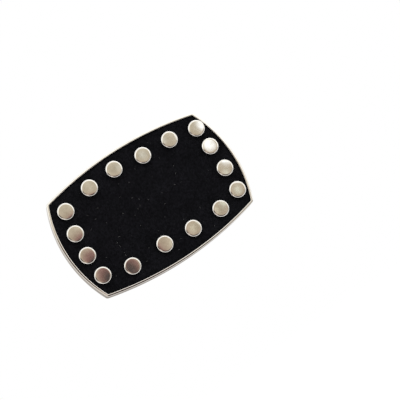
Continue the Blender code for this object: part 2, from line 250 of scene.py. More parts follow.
# Size, stretch and depth of the grain in the suede, its lint and the board
BRUSHED_PATCH_SIZE = 8.0 * MM
FIBRE_SIZE = 0.35 * MM
FIBRE_DEPTH = 0.08 * MM
TUFT_SIZE = 1.1 * MM
HUMP_SIZE = 1.4 * MM
HUMP_DEPTH = 0.12 * MM
SPECK_SPACING = 2.2 * MM
LINT_TONE_SIZE = 2.5 * MM
FLECK_SIZE = 0.6 * MM
FLECK_STRETCH = (0.3, 1.0, 1.0)
FLECK_DEPTH = 0.05 * MM

# Spans of a grain that are used, and the spans that they are stretched over
WHOLE_SPAN = (0.0, 1.0)
WIDE_SPAN = (0.2, 0.8)
NAP_SPAN = (0.3, 0.7)
TUFT_SPAN = (0.35, 0.65)
CLOUD_SPAN = (0.35, 0.7)
SCRATCH_SPAN = (0.12, 0.42)
SPECK_RIM = (0.05, 0.12)
SPECK_CHOICE = (0.80, 0.82)
BRUSHED_SHADE = (0.55, 1.0)
TUFT_SHADE = (0.4, 1.0)
SPECK_SHADE = (0.15, 1.0)

# Strength of the bumps
SCRATCH_BUMP = 0.5
SOFT_BUMP = 0.6
FIRM_BUMP = 0.7

# Camera, fitted to the photograph
CAMERA_PLACE = Vector((-131.4, -650.8, -82.8)) * MM
CAMERA_AIM = Vector((22.0, -7.2, -12.4)) * MM
CAMERA_ROLL = math.radians(-34.5)
CAMERA_LENS = 117.0
CAMERA_CLIP = 0.01
SENSOR_WIDTH = 36.0

# Studio
FLOOR_DROP = 160.0 * MM
FLOOR_SIZE = 6.0
FLOOR_COLOUR = (0.8, 0.8, 0.8, 1.0)
FLOOR_GLOW = 0.8
FILL_COLOUR = (1.0, 0.99, 0.97, 1.0)
FILL_STRENGTH = 0.45
BACKDROP_COLOUR = (1.0, 1.0, 1.0, 1.0)
BACKDROP_STRENGTH = 1.0
KEY_DISTANCE = 0.75
KEY_SIZE = 1.1
KEY_POWER = 4.2
KEY_FORWARD = 0.6
BACK_KEY_BACKWARD = 0.8

# Cards that only reflections see, with places on them in metres from the point level with the buckle
CARD_DISTANCE = 0.6
CARD_WIDTH = 1.8
CARD_LOW = -1.20
CARD_HIGH = 0.80
ROOM_STRENGTH = 1.7
WALL_STRENGTH = 1.0

# Bands of the wall behind, from its foot to its top
WALL_BANDS = (
    (CARD_LOW, (0.30, 0.29, 0.28)),
    (-0.40, (0.45, 0.44, 0.42)),
    (-0.10, (0.60, 0.58, 0.56)),
    (0.07, (0.85, 0.83, 0.80)),
    (0.25, (1.0, 0.99, 0.97)),
    (CARD_HIGH, (1.0, 1.0, 1.0)),
)

# Bands of the room in front, along a slant
ROOM_SLANT = (-0.4, 1.0, 0.0)
ROOM_BANDS = (
    (CARD_LOW, (0.60, 0.56, 0.54)),
    (0.00, (0.38, 0.325, 0.28)),
    (0.08, (0.39, 0.335, 0.28)),
    (0.16, (0.43, 0.395, 0.335)),
    (0.19, (0.46, 0.43, 0.37)),
    (0.26, (0.80, 0.79, 0.76)),
    (0.50, (0.80, 0.80, 0.785)),
    (CARD_HIGH, (0.45, 0.45, 0.44)),
)

# A shade in the room, in bands from its middle to its rim
SHADE_MIDDLE = (0.038, 0.042)
SHADE_REACH = (0.052, 0.086)
SHADE_TURN = 0.576
SHADE_RIM = (0.85, 1.15)
SHADE_BANDS = (
    (0.35, (0.056, 0.050, 0.053)),
    (0.50, (0.14, 0.082, 0.080)),
    (0.72, (0.205, 0.106, 0.110)),
    (1.0, (0.34, 0.258, 0.230)),
)

# Spots in the room; each fades out across its rim, which is given in shares of its reach
Spot = namedtuple("Spot", "middle reach rim tone turn", defaults=(0.0,))
FIRM_RIM = (0.9, 1.1)
WIDE_RIM = (0.8, 1.1)
SOFT_RIM = (0.7, 1.3)
DARK_TONE = (0.02, 0.016, 0.016)
GREY_TONE = (0.21, 0.195, 0.175)
WINDOW_TONE = (0.80, 0.80, 0.785)
LAMP_TONE = (1.10, 1.18, 1.33)
LAMP_REACH = (0.030, 0.030)
PATCH_REACH = (0.015, 0.015)

# Two dark areas and a grey one, six patches, a window and a lamp, laid over each other in this order
ROOM_SPOTS = (
    Spot((0.22, -0.33), (0.30, 0.35), FIRM_RIM, DARK_TONE),
    Spot((-0.28, -0.12), (0.26, 0.11), FIRM_RIM, DARK_TONE, turn=0.50),
    Spot((0.56, 0.06), (0.31, 0.30), WIDE_RIM, GREY_TONE),
    Spot((0.141, 0.141), PATCH_REACH, SOFT_RIM, (0.72, 0.77, 0.73)),
    Spot((0.110, 0.106), PATCH_REACH, SOFT_RIM, (0.63, 0.62, 0.53)),
    Spot((0.047, 0.179), PATCH_REACH, SOFT_RIM, (0.59, 0.61, 0.60)),
    Spot((-0.003, 0.144), PATCH_REACH, SOFT_RIM, (0.52, 0.49, 0.43)),
    Spot((0.128, 0.116), PATCH_REACH, SOFT_RIM, (0.32, 0.285, 0.235)),
    Spot((0.023, 0.168), PATCH_REACH, SOFT_RIM, (0.35, 0.32, 0.265)),
    Spot((0.55, 0.32), (0.29, 0.14), WIDE_RIM, WINDOW_TONE),
    Spot((0.141, 0.216), LAMP_REACH, SOFT_RIM, LAMP_TONE),
)


# Shapes


def face_point(x, y, depth):
    """A point given along, up and in front of the back, in the buckle's own frame."""
    return Vector((x, -depth, y))


def ellipse(centre, reach, start, end, steps):
    """Points along a stretch of an ellipse, both ends included; the angles are in radians."""
    points = []
    for step in range(steps + 1):
        angle = start + (end - start) * step / steps
        points.append((centre[0] + reach[0] * math.cos(angle), centre[1] + reach[1] * math.sin(angle)))
    return points


def arc(centre, radius, start, end, steps):
    """Points along an arc, both ends included."""
    return ellipse(centre, (radius, radius), start, end, steps)


def between(start, end, steps):
    """The points that part a straight line into steps, without its ends."""
    first = Vector(start)
    return [tuple(first.lerp(Vector(end), step / steps)) for step in range(1, steps)]


def circle_crossing(first, first_radius, second, second_radius):
    """The crossing of two circles that lies in the upper right quarter."""
    apart = second - first
    along = (first_radius**2 - second_radius**2 + apart.length_squared) / (2 * apart.length)
    across = math.sqrt(first_radius**2 - along**2)
    foot = first + apart.normalized() * along
    side = Vector((-apart.y, apart.x)).normalized() * across
    return max((foot + side, foot - side), key=lambda point: point.x + point.y)


def barrel(inset):
    """The frame's outline, drawn in by an inset, counterclockwise from the right-hand side's middle."""
    long_radius = LONG_ARC_RADIUS - inset
    short_radius = SHORT_ARC_RADIUS - inset
    fillet = max(CORNER_RADIUS - inset, INNER_CORNER_RADIUS)
    centre = circle_crossing(LONG_ARC_CENTRE, long_radius - fillet, SHORT_ARC_CENTRE, short_radius - fillet)
    to_long = centre - LONG_ARC_CENTRE
    to_short = centre - SHORT_ARC_CENTRE
    long_angle = math.atan2(to_long.y, to_long.x)
    short_angle = math.atan2(to_short.y, to_short.x)
    quarter = arc(SHORT_ARC_CENTRE, short_radius, 0.0, short_angle, SHORT_HALF_STEPS)
    quarter += arc(centre, fillet, short_angle, long_angle, CORNER_STEPS)[1:]
    quarter += arc(LONG_ARC_CENTRE, long_radius, long_angle, math.pi / 2, LONG_HALF_STEPS)[1:]
    upper = quarter + [(-x, y) for x, y in reversed(quarter[:-1])]
    return upper + [(x, -y) for x, y in reversed(upper[1:-1])]


def edge_distance(x, y):
    """How far inside the frame's outline a point of the face lies."""
    folded = Vector((abs(x), abs(y)))
    from_long = LONG_ARC_RADIUS - (folded - LONG_ARC_CENTRE).length
    from_short = SHORT_ARC_RADIUS - (folded - SHORT_ARC_CENTRE).length
    return min(from_long, from_short)


def eased(share):
    """A smooth step from 0 to 1."""
    share = min(max(share, 0.0), 1.0)
    return share * share * (3.0 - 2.0 * share)


def stud_places():
    """The stud caps' nodes, each with the middle of its place on the face."""
    places = {}
    for node in sorted(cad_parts):
        if node.startswith("stud_cap_"):
            low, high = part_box(node)
            places[node] = Vector(((low.x + high.x) / 2, (low.z + high.z) / 2))
    return places


def add_piece(name, mesh, body, finish, slot, *nodes):
    """Add a piece that moves with a body, in the given finish, and may stand for solids; the slot is not
    used.
    """
    piece = bpy.data.objects.new(name, mesh)
    bpy.context.scene.collection.objects.link(piece)
    mesh.materials.append(finish)
    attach(piece, body)
    if nodes:
        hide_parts(*nodes)
    return piece


def mesh_from(name, bm, sharp_over=SHARP_ANGLE):
    """Turn a closed bmesh into a mesh with outward faces, smooth but for its sharp edges."""
    bmesh.ops.recalc_face_normals(bm, faces=bm.faces)
    mesh = bpy.data.meshes.new(name)
    bm.to_mesh(mesh)
    bm.free()
    mesh.shade_smooth()
    mesh.set_sharp_from_angle(angle=math.radians(sharp_over))
    return mesh


def even_normals(piece):
    """Let the large faces lead the shading, so that flat faces beside round edges stay flat."""
    weighted = piece.modifiers.new("even_normals", "WEIGHTED_NORMAL")
    weighted.keep_sharp = True


def bridge(bm, lower, upper):
    """Quads between two closed rings with as many points each."""
    for index in range(len(lower)):
        following = (index + 1) % len(lower)
        bm.faces.new((lower[index], lower[following], upper[following], upper[index]))


def loft(bm, loops):
    """A skin over closed rings, each bridged to the next."""
    for lower, upper in zip(loops, loops[1:]):
        bridge(bm, lower, upper)


def turned(name, profile, segments):
    """A solid turned about its depth axis from (radius, depth) points whose ends lie on the axis."""
    bm = bmesh.new()
    points = [bm.verts.new(face_point(radius, 0.0, depth)) for radius, depth in profile]
    edges = [bm.edges.new(pair) for pair in zip(points, points[1:])]
    bmesh.ops.spin(
        bm,
        geom=points + edges,
        cent=(0.0, 0.0, 0.0),
        axis=DEPTH_AXIS,
        angle=math.tau,
        steps=segments,
        use_merge=True,
    )
    bmesh.ops.remove_doubles(bm, verts=bm.verts, dist=MERGE_DISTANCE)
    return mesh_from(name, bm)


def tube(bm, path, radius, sides, tip_round):
    """Sweep a round wire along points that run across the depth, with rounded tips."""
    rings = []
    last = len(path) - 1
    for index, point in enumerate(path):
        before = path[max(index - 1, 0)]
        after = path[min(index + 1, last)]
        rings.append((point, (after - before).normalized(), radius))
    first_point, first_along, _ = rings[0]
    last_point, last_along, _ = rings[-1]
    for step in range(1, ROUND_STEPS):
        angle = math.pi / 2 * step / ROUND_STEPS
        narrow = radius - tip_round * (1.0 - math.cos(angle))
        reach = tip_round * math.sin(angle)
        rings.insert(0, (first_point - first_along * reach, first_along, narrow))
        rings.append((last_point + last_along * reach, last_along, narrow))
    loops = []
    for point, along, ring_radius in rings:
        across = along.cross(DEPTH_AXIS).normalized()
        out = across.cross(along)
        loop = []
        for side in range(sides):
            angle = math.tau * side / sides
            offset = across * math.cos(angle) + out * math.sin(angle)
            loop.append(bm.verts.new(point + offset * ring_radius))
        loops.append(loop)
    loft(bm, loops)
    bm.faces.new(loops[0])
    bm.faces.new(loops[-1])


# Materials


class Finish:
    """A material under construction: its shader and short calls for the nodes that finishes share."""

    def __init__(self, name, metallic):
        self.material = bpy.data.materials.new(name)
        self.material.use_nodes = True
        self.tree = self.material.node_tree
        self.shader = self.tree.nodes["Principled BSDF"]
        self.shader.inputs["Metallic"].default_value = metallic
        self.place = self.tree.nodes.new("ShaderNodeTexCoord").outputs["Object"]

    def feed(self, socket, value):
        """Link a value to a socket, or set it there if it is a constant."""
        if isinstance(value, bpy.types.NodeSocket):
            self.tree.links.new(value, socket)
        else:
            socket.default_value = value

    def stretched(self, stretch, turn=(0.0, 0.0, 0.0)):
        """Object coordinates, stretched and turned."""
        mapping = self.tree.nodes.new("ShaderNodeMapping")
        self.feed(mapping.inputs["Vector"], self.place)
        mapping.inputs["Scale"].default_value = stretch
        mapping.inputs["Rotation"].default_value = turn
        return mapping.outputs["Vector"]

    def grain(self, size, detail=2.0, roughness=0.5, place=None):
        """Noise from 0 to 1 with features of about this size."""
        made = self.tree.nodes.new("ShaderNodeTexNoise")
        self.feed(made.inputs["Vector"], place or self.place)
        made.inputs["Scale"].default_value = 1.0 / size
        made.inputs["Detail"].default_value = detail
        made.inputs["Roughness"].default_value = roughness
        return made.outputs["Fac"]

    def ranged(self, value, span, onto=WHOLE_SPAN):
        """Stretch one span of a value over another."""
        made = self.tree.nodes.new("ShaderNodeMapRange")
        self.feed(made.inputs["Value"], value)
        made.inputs["From Min"].default_value = span[0]
        made.inputs["From Max"].default_value = span[1]
        made.inputs["To Min"].default_value = onto[0]
        made.inputs["To Max"].default_value = onto[1]
        return made.outputs["Result"]

    def joined(self, operation, first, second):
        """Two values joined by an arithmetic operation."""
        made = self.tree.nodes.new("ShaderNodeMath")
        made.operation = operation
        self.feed(made.inputs[0], first)
        self.feed(made.inputs[1], second)
        return made.outputs["Value"]

    def blend(self, factor, first, second):
        """A colour between two colours."""
        made = self.tree.nodes.new("ShaderNodeMix")
        made.data_type = "RGBA"
        self.feed(made.inputs["Factor"], factor)
        for socket, colour in ((made.inputs["A"], first), (made.inputs["B"], second)):
            self.feed(socket, colour if isinstance(colour, bpy.types.NodeSocket) else (*colour, 1.0))
        return made.outputs["Result"]

    def bands(self, value, stops):
        """A colour that runs through (value, colour) stops."""
        low, high = stops[0][0], stops[-1][0]
        made = self.tree.nodes.new("ShaderNodeValToRGB")
        self.feed(made.inputs["Fac"], self.ranged(value, (low, high)))
        elements = made.color_ramp.elements
        while len(elements) < len(stops):
            elements.new(1.0)
        for element, (height, colour) in zip(elements, stops):
            element.position = (height - low) / (high - low)
            element.color = (*colour, 1.0)
        return made.outputs["Color"]

    def from_middle(self, middle, reach, turn):
        """Distance from a spot's middle, 1 at its rim; the spot is an ellipse of two reaches."""
        mapping = self.tree.nodes.new("ShaderNodeMapping")
        mapping.vector_type = "TEXTURE"
        self.feed(mapping.inputs["Vector"], self.place)
        mapping.inputs["Location"].default_value = (*middle, 0.0)
        mapping.inputs["Rotation"].default_value = (0.0, 0.0, turn)
        mapping.inputs["Scale"].default_value = (*reach, 1.0)
        length = self.tree.nodes.new("ShaderNodeVectorMath")
        length.operation = "LENGTH"
        self.feed(length.inputs[0], mapping.outputs["Vector"])
        return length.outputs["Value"]

    def spotted(self, colour, distance, rim, tone):
        """A colour with a spot of another tone over it, which fades out across its rim."""
        return self.blend(self.ranged(distance, rim, (1.0, 0.0)), colour, tone)

    def along(self, direction):
        """How far a point lies along a direction."""
        made = self.tree.nodes.new("ShaderNodeVectorMath")
        made.operation = "DOT_PRODUCT"
        self.feed(made.inputs[0], self.place)
        made.inputs[1].default_value = direction
        return made.outputs["Value"]

    def painted(self, name):
        """A value painted on the mesh's points."""
        made = self.tree.nodes.new("ShaderNodeAttribute")
        made.attribute_name = name
        return made.outputs["Fac"]

    def bump(self, height, distance, strength, under=None):
        """Normals that follow a height, which may lie on top of another bump."""
        made = self.tree.nodes.new("ShaderNodeBump")
        made.inputs["Distance"].default_value = distance
        made.inputs["Strength"].default_value = strength
        self.feed(made.inputs["Height"], height)
        if under:
            self.feed(made.inputs["Normal"], under)
        return made.outputs["Normal"]

    def set(self, name, value):
        """Feed one of the shader's sockets."""
        self.feed(self.shader.inputs[name], value)

    def glow(self, colour, strength):
        """Shine in a colour and mirror nothing."""
        self.set("Base Color", (0.0, 0.0, 0.0, 1.0))
        self.set("Specular IOR Level", 0.0)
        self.set("Emission Color", colour)
        self.set("Emission Strength", strength)


def nickel(name, bright, dull, gloss, scratch, tarnish_and_shade=None, polish=None):
    """Plated metal with cloudy tarnish, wiped scratches and a faint waviness; tarnish and painted shade may
    be laid on from the mesh, and edges may be polished.
    """
    finish = Finish(name, metallic=1.0)
    clouds = finish.ranged(finish.grain(CLOUD_SIZE, detail=5.0, roughness=0.68), CLOUD_SPAN)
    colour = finish.blend(clouds, bright, dull)
    wiped = finish.grain(WIPE_SIZE, detail=3.0, place=finish.stretched(WIPE_STRETCH, WIPE_TURN))
    crossing = finish.stretched(CROSS_WIPE_STRETCH, CROSS_WIPE_TURN)
    crossed = finish.grain(CROSS_WIPE_SIZE, detail=3.0, place=crossing)
    scratches = finish.joined("MULTIPLY", wiped, crossed)
    rough = finish.ranged(scratches, SCRATCH_SPAN, (gloss, gloss + scratch))
    if tarnish_and_shade:
        # Tarnish from the mesh, and painted shade where it darkens the rim's shoulder
        tarnish_and_shade_share = finish.painted("tarnish_and_shade")
        colour = finish.blend(tarnish_and_shade_share, colour, tarnish_and_shade)
        rough = finish.joined("ADD", rough, finish.ranged(tarnish_and_shade_share, WHOLE_SPAN, (0.0, TARNISH_ROUGHNESS)))
        finish.set("Specular Tint", GLANCING_TINT)
    if polish:
        rubbed = finish.painted("polish")
        colour = finish.blend(rubbed, colour, polish)
        rough = finish.joined("MULTIPLY", rough, finish.ranged(rubbed, WHOLE_SPAN, (1.0, RUBBED_SHARE)))
    finish.set("Base Color", colour)
    finish.set("Roughness", rough)
    waves = finish.bump(finish.grain(WAVE_SIZE), WAVE_DEPTH, SOFT_BUMP)
    finish.set("Normal", finish.bump(scratches, SCRATCH_DEPTH, SCRATCH_BUMP, waves))
    return finish.material


def cast_nickel():
    """The plated casting where it wasn't polished: duller, with the skin of the mould."""
    finish = Finish("cast_nickel", metallic=1.0)
    clouds = finish.ranged(finish.grain(CAST_CLOUD_SIZE, detail=5.0, roughness=0.65), CLOUD_SPAN)
    finish.set("Base Color", finish.blend(clouds, CAST_BRIGHT, CAST_DULL))
    skin = finish.grain(CAST_SKIN_SIZE, detail=3.0, roughness=0.6)
    finish.set("Roughness", finish.ranged(skin, NAP_SPAN, CAST_ROUGHNESS))
    finish.set("Normal", finish.bump(skin, CAST_SKIN_DEPTH, FIRM_BUMP))
    return finish.material


def pale_specks(finish):
    """1 on a few small specks strewn over a surface, fainter on some, and 0 elsewhere."""
    cells = finish.tree.nodes.new("ShaderNodeTexVoronoi")
    finish.feed(cells.inputs["Vector"], finish.place)
    cells.inputs["Scale"].default_value = 1.0 / SPECK_SPACING
    near = finish.ranged(cells.outputs["Distance"], SPECK_RIM, (1.0, 0.0))
    drawn = finish.tree.nodes.new("ShaderNodeSeparateColor")
    finish.feed(drawn.inputs["Color"], cells.outputs["Color"])
    few = finish.ranged(drawn.outputs["Red"], SPECK_CHOICE)
    faint = finish.ranged(drawn.outputs["Green"], WHOLE_SPAN, SPECK_SHADE)
    return finish.joined("MULTIPLY", finish.joined("MULTIPLY", near, few), faint)


def black_suede():
    """Black suede: a matt nap brushed in patches, fine fibres and a few pale specks of lint."""
    finish = Finish("suede_nap", metallic=0.0)
    patches = finish.ranged(finish.grain(BRUSHED_PATCH_SIZE, detail=3.0), NAP_SPAN)
    fibres = finish.grain(FIBRE_SIZE, detail=4.0, roughness=0.7)
    brushed = finish.ranged(patches, WHOLE_SPAN, BRUSHED_SHADE)
    nap = finish.joined("MULTIPLY", brushed, finish.ranged(fibres, NAP_SPAN))
    tufts = finish.ranged(finish.grain(TUFT_SIZE, detail=2.0), TUFT_SPAN, TUFT_SHADE)
    dark = finish.blend(finish.joined("MULTIPLY", nap, tufts), SUEDE_DEEP, SUEDE_RAISED)
    finish.set("Base Color", finish.blend(pale_specks(finish), dark, SUEDE_SPECK))
    finish.set("Roughness", finish.ranged(fibres, WIDE_SPAN, SUEDE_ROUGHNESS))
    finish.set("Specular IOR Level", SUEDE_SHINE)
    finish.set("Sheen Weight", SHEEN_WEIGHT)
    finish.set("Sheen Roughness", SHEEN_ROUGHNESS)
    finish.set("Sheen Tint", SHEEN_TINT)
    humps = finish.bump(finish.grain(HUMP_SIZE, detail=3.0), HUMP_DEPTH, SOFT_BUMP)
    finish.set("Normal", finish.bump(fibres, FIBRE_DEPTH, FIRM_BUMP, humps))
    return finish.material


def pale_lint():
    """Fine pale fibres caught in the nap."""
    finish = Finish("pale_lint", metallic=0.0)
    tone = finish.grain(LINT_TONE_SIZE, detail=1.0)
    finish.set("Base Color", finish.blend(tone, LINT_DARK, LINT_PALE))
    finish.set("Roughness", LINT_ROUGHNESS)
    return finish.material


def fibre_board():
    """Pressed fibre board: brown, flecked and matt."""
    finish = Finish("pressed_fibre", metallic=0.0)
    flecks = finish.grain(FLECK_SIZE, detail=4.0, place=finish.stretched(FLECK_STRETCH))
    finish.set("Base Color", finish.blend(flecks, BOARD_DARK, BOARD_PALE))
    finish.set("Roughness", finish.ranged(flecks, WIDE_SPAN, BOARD_ROUGHNESS))
    finish.set("Normal", finish.bump(flecks, FLECK_DEPTH, SOFT_BUMP))
    return finish.material


# Pieces


def tray_section():
    """The frame's section as (inset, depth, tarnish and painted shade), from the back's edge over the rim
    to the floor.
    """
    edge_middle = (BACK_EDGE_ROUND, BACK_EDGE_ROUND)
    edge = arc(edge_middle, BACK_EDGE_ROUND, -math.pi / 2, -math.pi, ROUND_STEPS)
    outer_middle = (RIM_CREST, RIM_FRONT - RIM_OUTER_DROP)
    outer = ellipse(outer_middle, (RIM_CREST, RIM_OUTER_DROP), math.pi, math.pi / 2, RIM_STEPS)
    inner_middle = (RIM_CREST, RIM_FRONT - RIM_INNER_DROP)
    inner_reach = (RIM_WIDTH - RIM_CREST, RIM_INNER_DROP)
    inner = ellipse(inner_middle, inner_reach, math.pi / 2, 0.0, RIM_STEPS)
    section = [(*point, WALL_TARNISH) for point in edge]
    # The shoulder's value is painted shade, a dark line like the one the bend reflects
    section.append((*outer[0], SHOULDER_PAINTED_SHADE))
    section += [(*point, 0.0) for point in outer[1:] + inner[1:]]
    section.append((RIM_WIDTH, SUEDE_FRONT, INNER_WALL_TARNISH))
    section.append((RIM_WIDTH, FLOOR_FRONT, FLOOR_TARNISH))
    return section


def make_tray(polished, cast):
    """The cast frame: a shallow tray whose polished rim stands round the inlay."""
    bm = bmesh.new()
    # Each point keeps its share of tarnish, and of painted shade on the rim's shoulder
    tarnish_and_shade = bm.verts.layers.float.new("tarnish_and_shade")
    loops = []
    for inset, depth, tarnish_and_shade_share in tray_section():
        loop = [bm.verts.new(face_point(x, y, depth)) for x, y in barrel(inset)]
        for vertex in loop:
            vertex[tarnish_and_shade] = tarnish_and_shade_share
        loops.append(loop)
    loft(bm, loops)
    for loop in (loops[0], loops[-1]):
        bm.faces.new(loop).material_index = 1
    mesh = mesh_from("frame_casting", bm)
    tray = add_piece("frame_casting", mesh, "plate", polished, "frame_nickel", "buckle_frame")
    mesh.materials.append(cast)
    even_normals(tray)


def lug_outline(round_off):
    """A lug's outline about the hinge axis: a round eye on a foot that flares into the back."""
    eye_radius = LUG_WALL + BORE_RADIUS - round_off
    foot = LUG_FOOT_LENGTH / 2 - round_off
    eye = arc((0.0, HINGE_STANDOFF), eye_radius, math.pi, 0.0, LUG_ARC_STEPS)
    flare = arc((foot + LUG_FILLET, LUG_FILLET), LUG_FILLET, math.pi, math.pi * 1.5, ROUND_STEPS)
    right = between(eye[-1], flare[0], LUG_SIDE_STEPS) + flare + [(foot + LUG_FILLET, -CAST_SUNK)]
    left = [(-x, height) for x, height in reversed(right)]
    return eye + right + between(right[-1], left[0], LUG_FOOT_STEPS) + left


def make_lug(name, middle_z, finish):
    """One hinge lug with its bore, cast on the frame's back."""
    edge_middle = (LUG_WIDTH / 2 - LUG_EDGE_ROUND, LUG_EDGE_ROUND)
    edge = arc(edge_middle, LUG_EDGE_ROUND, -math.pi / 2, 0.0, ROUND_STEPS)
    slices = [(-side, round_off) for side, round_off in reversed(edge)] + edge
    bm = bmesh.new()
    outer_loops = []
    bore_loops = []
    for side, round_off in slices:
        widened = BORE_RADIUS + round_off * BORE_FLARE_SHARE
        outer = []
        bore = []
        for x, height in lug_outline(round_off):
            outer.append(bm.verts.new(face_point(HINGE_X + x, middle_z + side, -height)))
            angle = math.atan2(height - HINGE_STANDOFF, x)
            bore_x = HINGE_X + widened * math.cos(angle)
            bore_height = HINGE_STANDOFF + widened * math.sin(angle)
            bore.append(bm.verts.new(face_point(bore_x, middle_z + side, -bore_height)))
        outer_loops.append(outer)
        bore_loops.append(bore)
    loft(bm, outer_loops)
    loft(bm, bore_loops)
    for end in (0, -1):
        bridge(bm, outer_loops[end], bore_loops[end])
    lug = add_piece(name, mesh_from(name, bm), "plate", finish, "frame_nickel", "buckle_frame")
    even_normals(lug)


def make_boss(finish):
    """The low boss under the hook stud, flared into the back."""
    flare_middle = (BOSS_RADIUS + BOSS_FILLET, -BOSS_FILLET)
    shoulder_radius = BOSS_RADIUS - BOSS_TAPER - BOSS_SHOULDER_ROUND
    shoulder_middle = (shoulder_radius, BOSS_SHOULDER_ROUND - BOSS_HEIGHT)
    profile = [(0.0, CAST_SUNK), (BOSS_RADIUS + BOSS_FILLET, CAST_SUNK)]
    profile += arc(flare_middle, BOSS_FILLET, math.pi / 2, math.pi, ROUND_STEPS)
    profile += arc(shoulder_middle, BOSS_SHOULDER_ROUND, 0.0, -math.pi / 2, ROUND_STEPS)
    profile.append((0.0, -BOSS_HEIGHT))
    mesh = turned("hook_boss", profile, HOOK_SEGMENTS)
    boss = add_piece("hook_boss", mesh, "plate", finish, "frame_nickel", "buckle_frame")
    boss.location = (HOOK_X, 0.0, 0.0)


def cap_profile():
    """A stud cap's section as (radius, depth from its seat): crowned face, soft edge, rolled hem, neck."""
    ceiling = CAP_HEIGHT - CAP_WALL
    skirt = CAP_RADIUS - CAP_WALL
    neck_tip = CAP_BACK - CAP_SEAT
    profile = []
    for step in range(ROUND_STEPS + 1):
        share = step / ROUND_STEPS
        profile.append((CAP_FACE_RADIUS * share, CAP_HEIGHT - CAP_CROWN * share**2))
    edge_middle = (CAP_FACE_RADIUS, CAP_HEIGHT - CAP_CROWN - CAP_EDGE_DROP)
    edge_reach = (CAP_EDGE_WIDTH, CAP_EDGE_DROP)
    profile += ellipse(edge_middle, edge_reach, math.pi / 2, 0.0, 2 * ROUND_STEPS)[1:]
    profile += arc((CAP_RADIUS - CAP_ROLL, CAP_ROLL), CAP_ROLL, 0.0, -math.pi / 2, ROUND_STEPS)
    profile += [(skirt, 0.0), (skirt, ceiling), (NECK_RADIUS, ceiling), (NECK_RADIUS, neck_tip)]
    profile += [(SOCKET_RADIUS, neck_tip), (SOCKET_RADIUS, ceiling), (0.0, ceiling)]
    return profile


def make_caps(finish):
    """The stud caps, each leaning a little, as hand setting leaves them."""
    drawn = random.Random(CAP_SEED)
    for node, middle in stud_places().items():
        mesh = turned(node, cap_profile(), CAP_SEGMENTS)
        rubbed = mesh.attributes.new("polish", "FLOAT", "POINT")
        for vertex, value in zip(mesh.vertices, rubbed.data):
            past_face = math.hypot(vertex.co.x, vertex.co.z) - CAP_FACE_RADIUS
            value.value = eased(past_face / CAP_POLISH_FADE)
        cap = add_piece(node.replace("stud", "satin_stud"), mesh, "plate", finish, "stud_nickel", node)
        lean = (drawn.uniform(-CAP_LEAN, CAP_LEAN), 0.0, drawn.uniform(-CAP_LEAN, CAP_LEAN))
        if node == GLINTING_CAP:
            lean = (0.0, 0.0, GLINT_LEAN)
        turn = Matrix.Rotation(drawn.uniform(0.0, math.tau), 4, "Y")
        seat = Matrix.Translation(face_point(middle.x, middle.y, CAP_SEAT))
        cap.matrix_basis = seat @ Euler(lean).to_matrix().to_4x4() @ turn


def suede_depth(x, y, middles):
    """The suede's front: softly uneven, drawn down round the studs and tucked in along the rim."""
    place = Vector((x, y, 0.0))
    depth = SUEDE_FRONT - SUEDE_SWELL
    depth += SUEDE_SWELL * noise.noise(place / SUEDE_SWELL_SIZE)
    depth += SUEDE_NAP * noise.noise(place / SUEDE_NAP_SIZE)
    nearest = min((middle - Vector((x, y))).length for middle in middles)
    depth -= DIMPLE_DEPTH * eased(1.0 - (nearest - CAP_RADIUS) / DIMPLE_REACH)
    depth -= TUCK_DEPTH * eased(1.0 - (edge_distance(x, y) - RIM_WIDTH) / TUCK_REACH)
    return depth


def suede_grid(middles):
    """Points in even rows over the leaf, clear of its edge and of its holes."""
    row_step = SUEDE_MESH_STEP * math.sqrt(3.0) / 2
    clear = SUEDE_MESH_STEP / 2
    rows = int(FRAME_HEIGHT / 2 / row_step)
    columns = int(FRAME_LENGTH / 2 / SUEDE_MESH_STEP) + 1
    grid = []
    for row in range(-rows, rows + 1):
        for column in range(-columns, columns + 1):
            spot = Vector(((column + row % 2 / 2) * SUEDE_MESH_STEP, row * row_step))
            inside = edge_distance(*spot) > SUEDE_INSET + clear
            holed = any((spot - middle).length < SUEDE_HOLE_RADIUS + clear for middle in middles)
            if inside and not holed:
                grid.append(spot)
    return grid


def suede_plan(middles):
    """The leaf's flat points and the triangles between them, with a hole left open for each stud."""
    loops = [barrel(SUEDE_INSET)]
    loops += [arc(middle, SUEDE_HOLE_RADIUS, 0.0, math.tau, HOLE_SEGMENTS)[:-1] for middle in middles]
    points = []
    edges = []
    for loop in loops:
        first = len(points)
        points += [Vector(point) for point in loop]
        edges += [(first + index, first + (index + 1) % len(loop)) for index in range(len(loop))]
    points += suede_grid(middles)
    flat, _, triangles, *_ = geometry.delaunay_2d_cdt(points, edges, [], 0, MERGE_DISTANCE)
    kept = []
    for triangle in triangles:
        middle = sum((flat[index] for index in triangle), Vector((0.0, 0.0))) / 3
        in_leaf = edge_distance(*middle) > RIM_WIDTH + SUEDE_RIM_GAP / 2
        in_hole = any((middle - stud).length < SUEDE_HOLE_RADIUS * HOLE_TOLERANCE for stud in middles)
        if in_leaf and not in_hole:
            kept.append(triangle)
    return flat, kept


def make_suede(finish):
    """The suede leaf as a closed sheet, punched for the studs' necks."""
    middles = list(stud_places().values())
    flat, triangles = suede_plan(middles)
    area = 0.0
    bm = bmesh.new()
    front = [bm.verts.new(face_point(x, y, suede_depth(x, y, middles))) for x, y in flat]
    back = [bm.verts.new(face_point(x, y, SUEDE_BACK)) for x, y in flat]
    for triangle in triangles:
        area += geometry.area_tri(*(flat[index] for index in triangle))
        bm.faces.new([front[index] for index in triangle])
        bm.faces.new([back[index] for index in reversed(triangle)])
    rim = [edge for edge in bm.edges if len(edge.link_faces) == 1]
    index_of = {vertex: index for index, vertex in enumerate(front)}
    for edge in rim:
        if edge.verts[0] in index_of:
            first, second = (index_of[vertex] for vertex in edge.verts)
            bm.faces.new((front[first], front[second], back[second], back[first]))
    mesh = mesh_from("suede_leaf", bm, SUEDE_SHARP_ANGLE)
    leaf = add_piece("suede_leaf", mesh, "plate", finish, "black_suede", "suede_inlay")


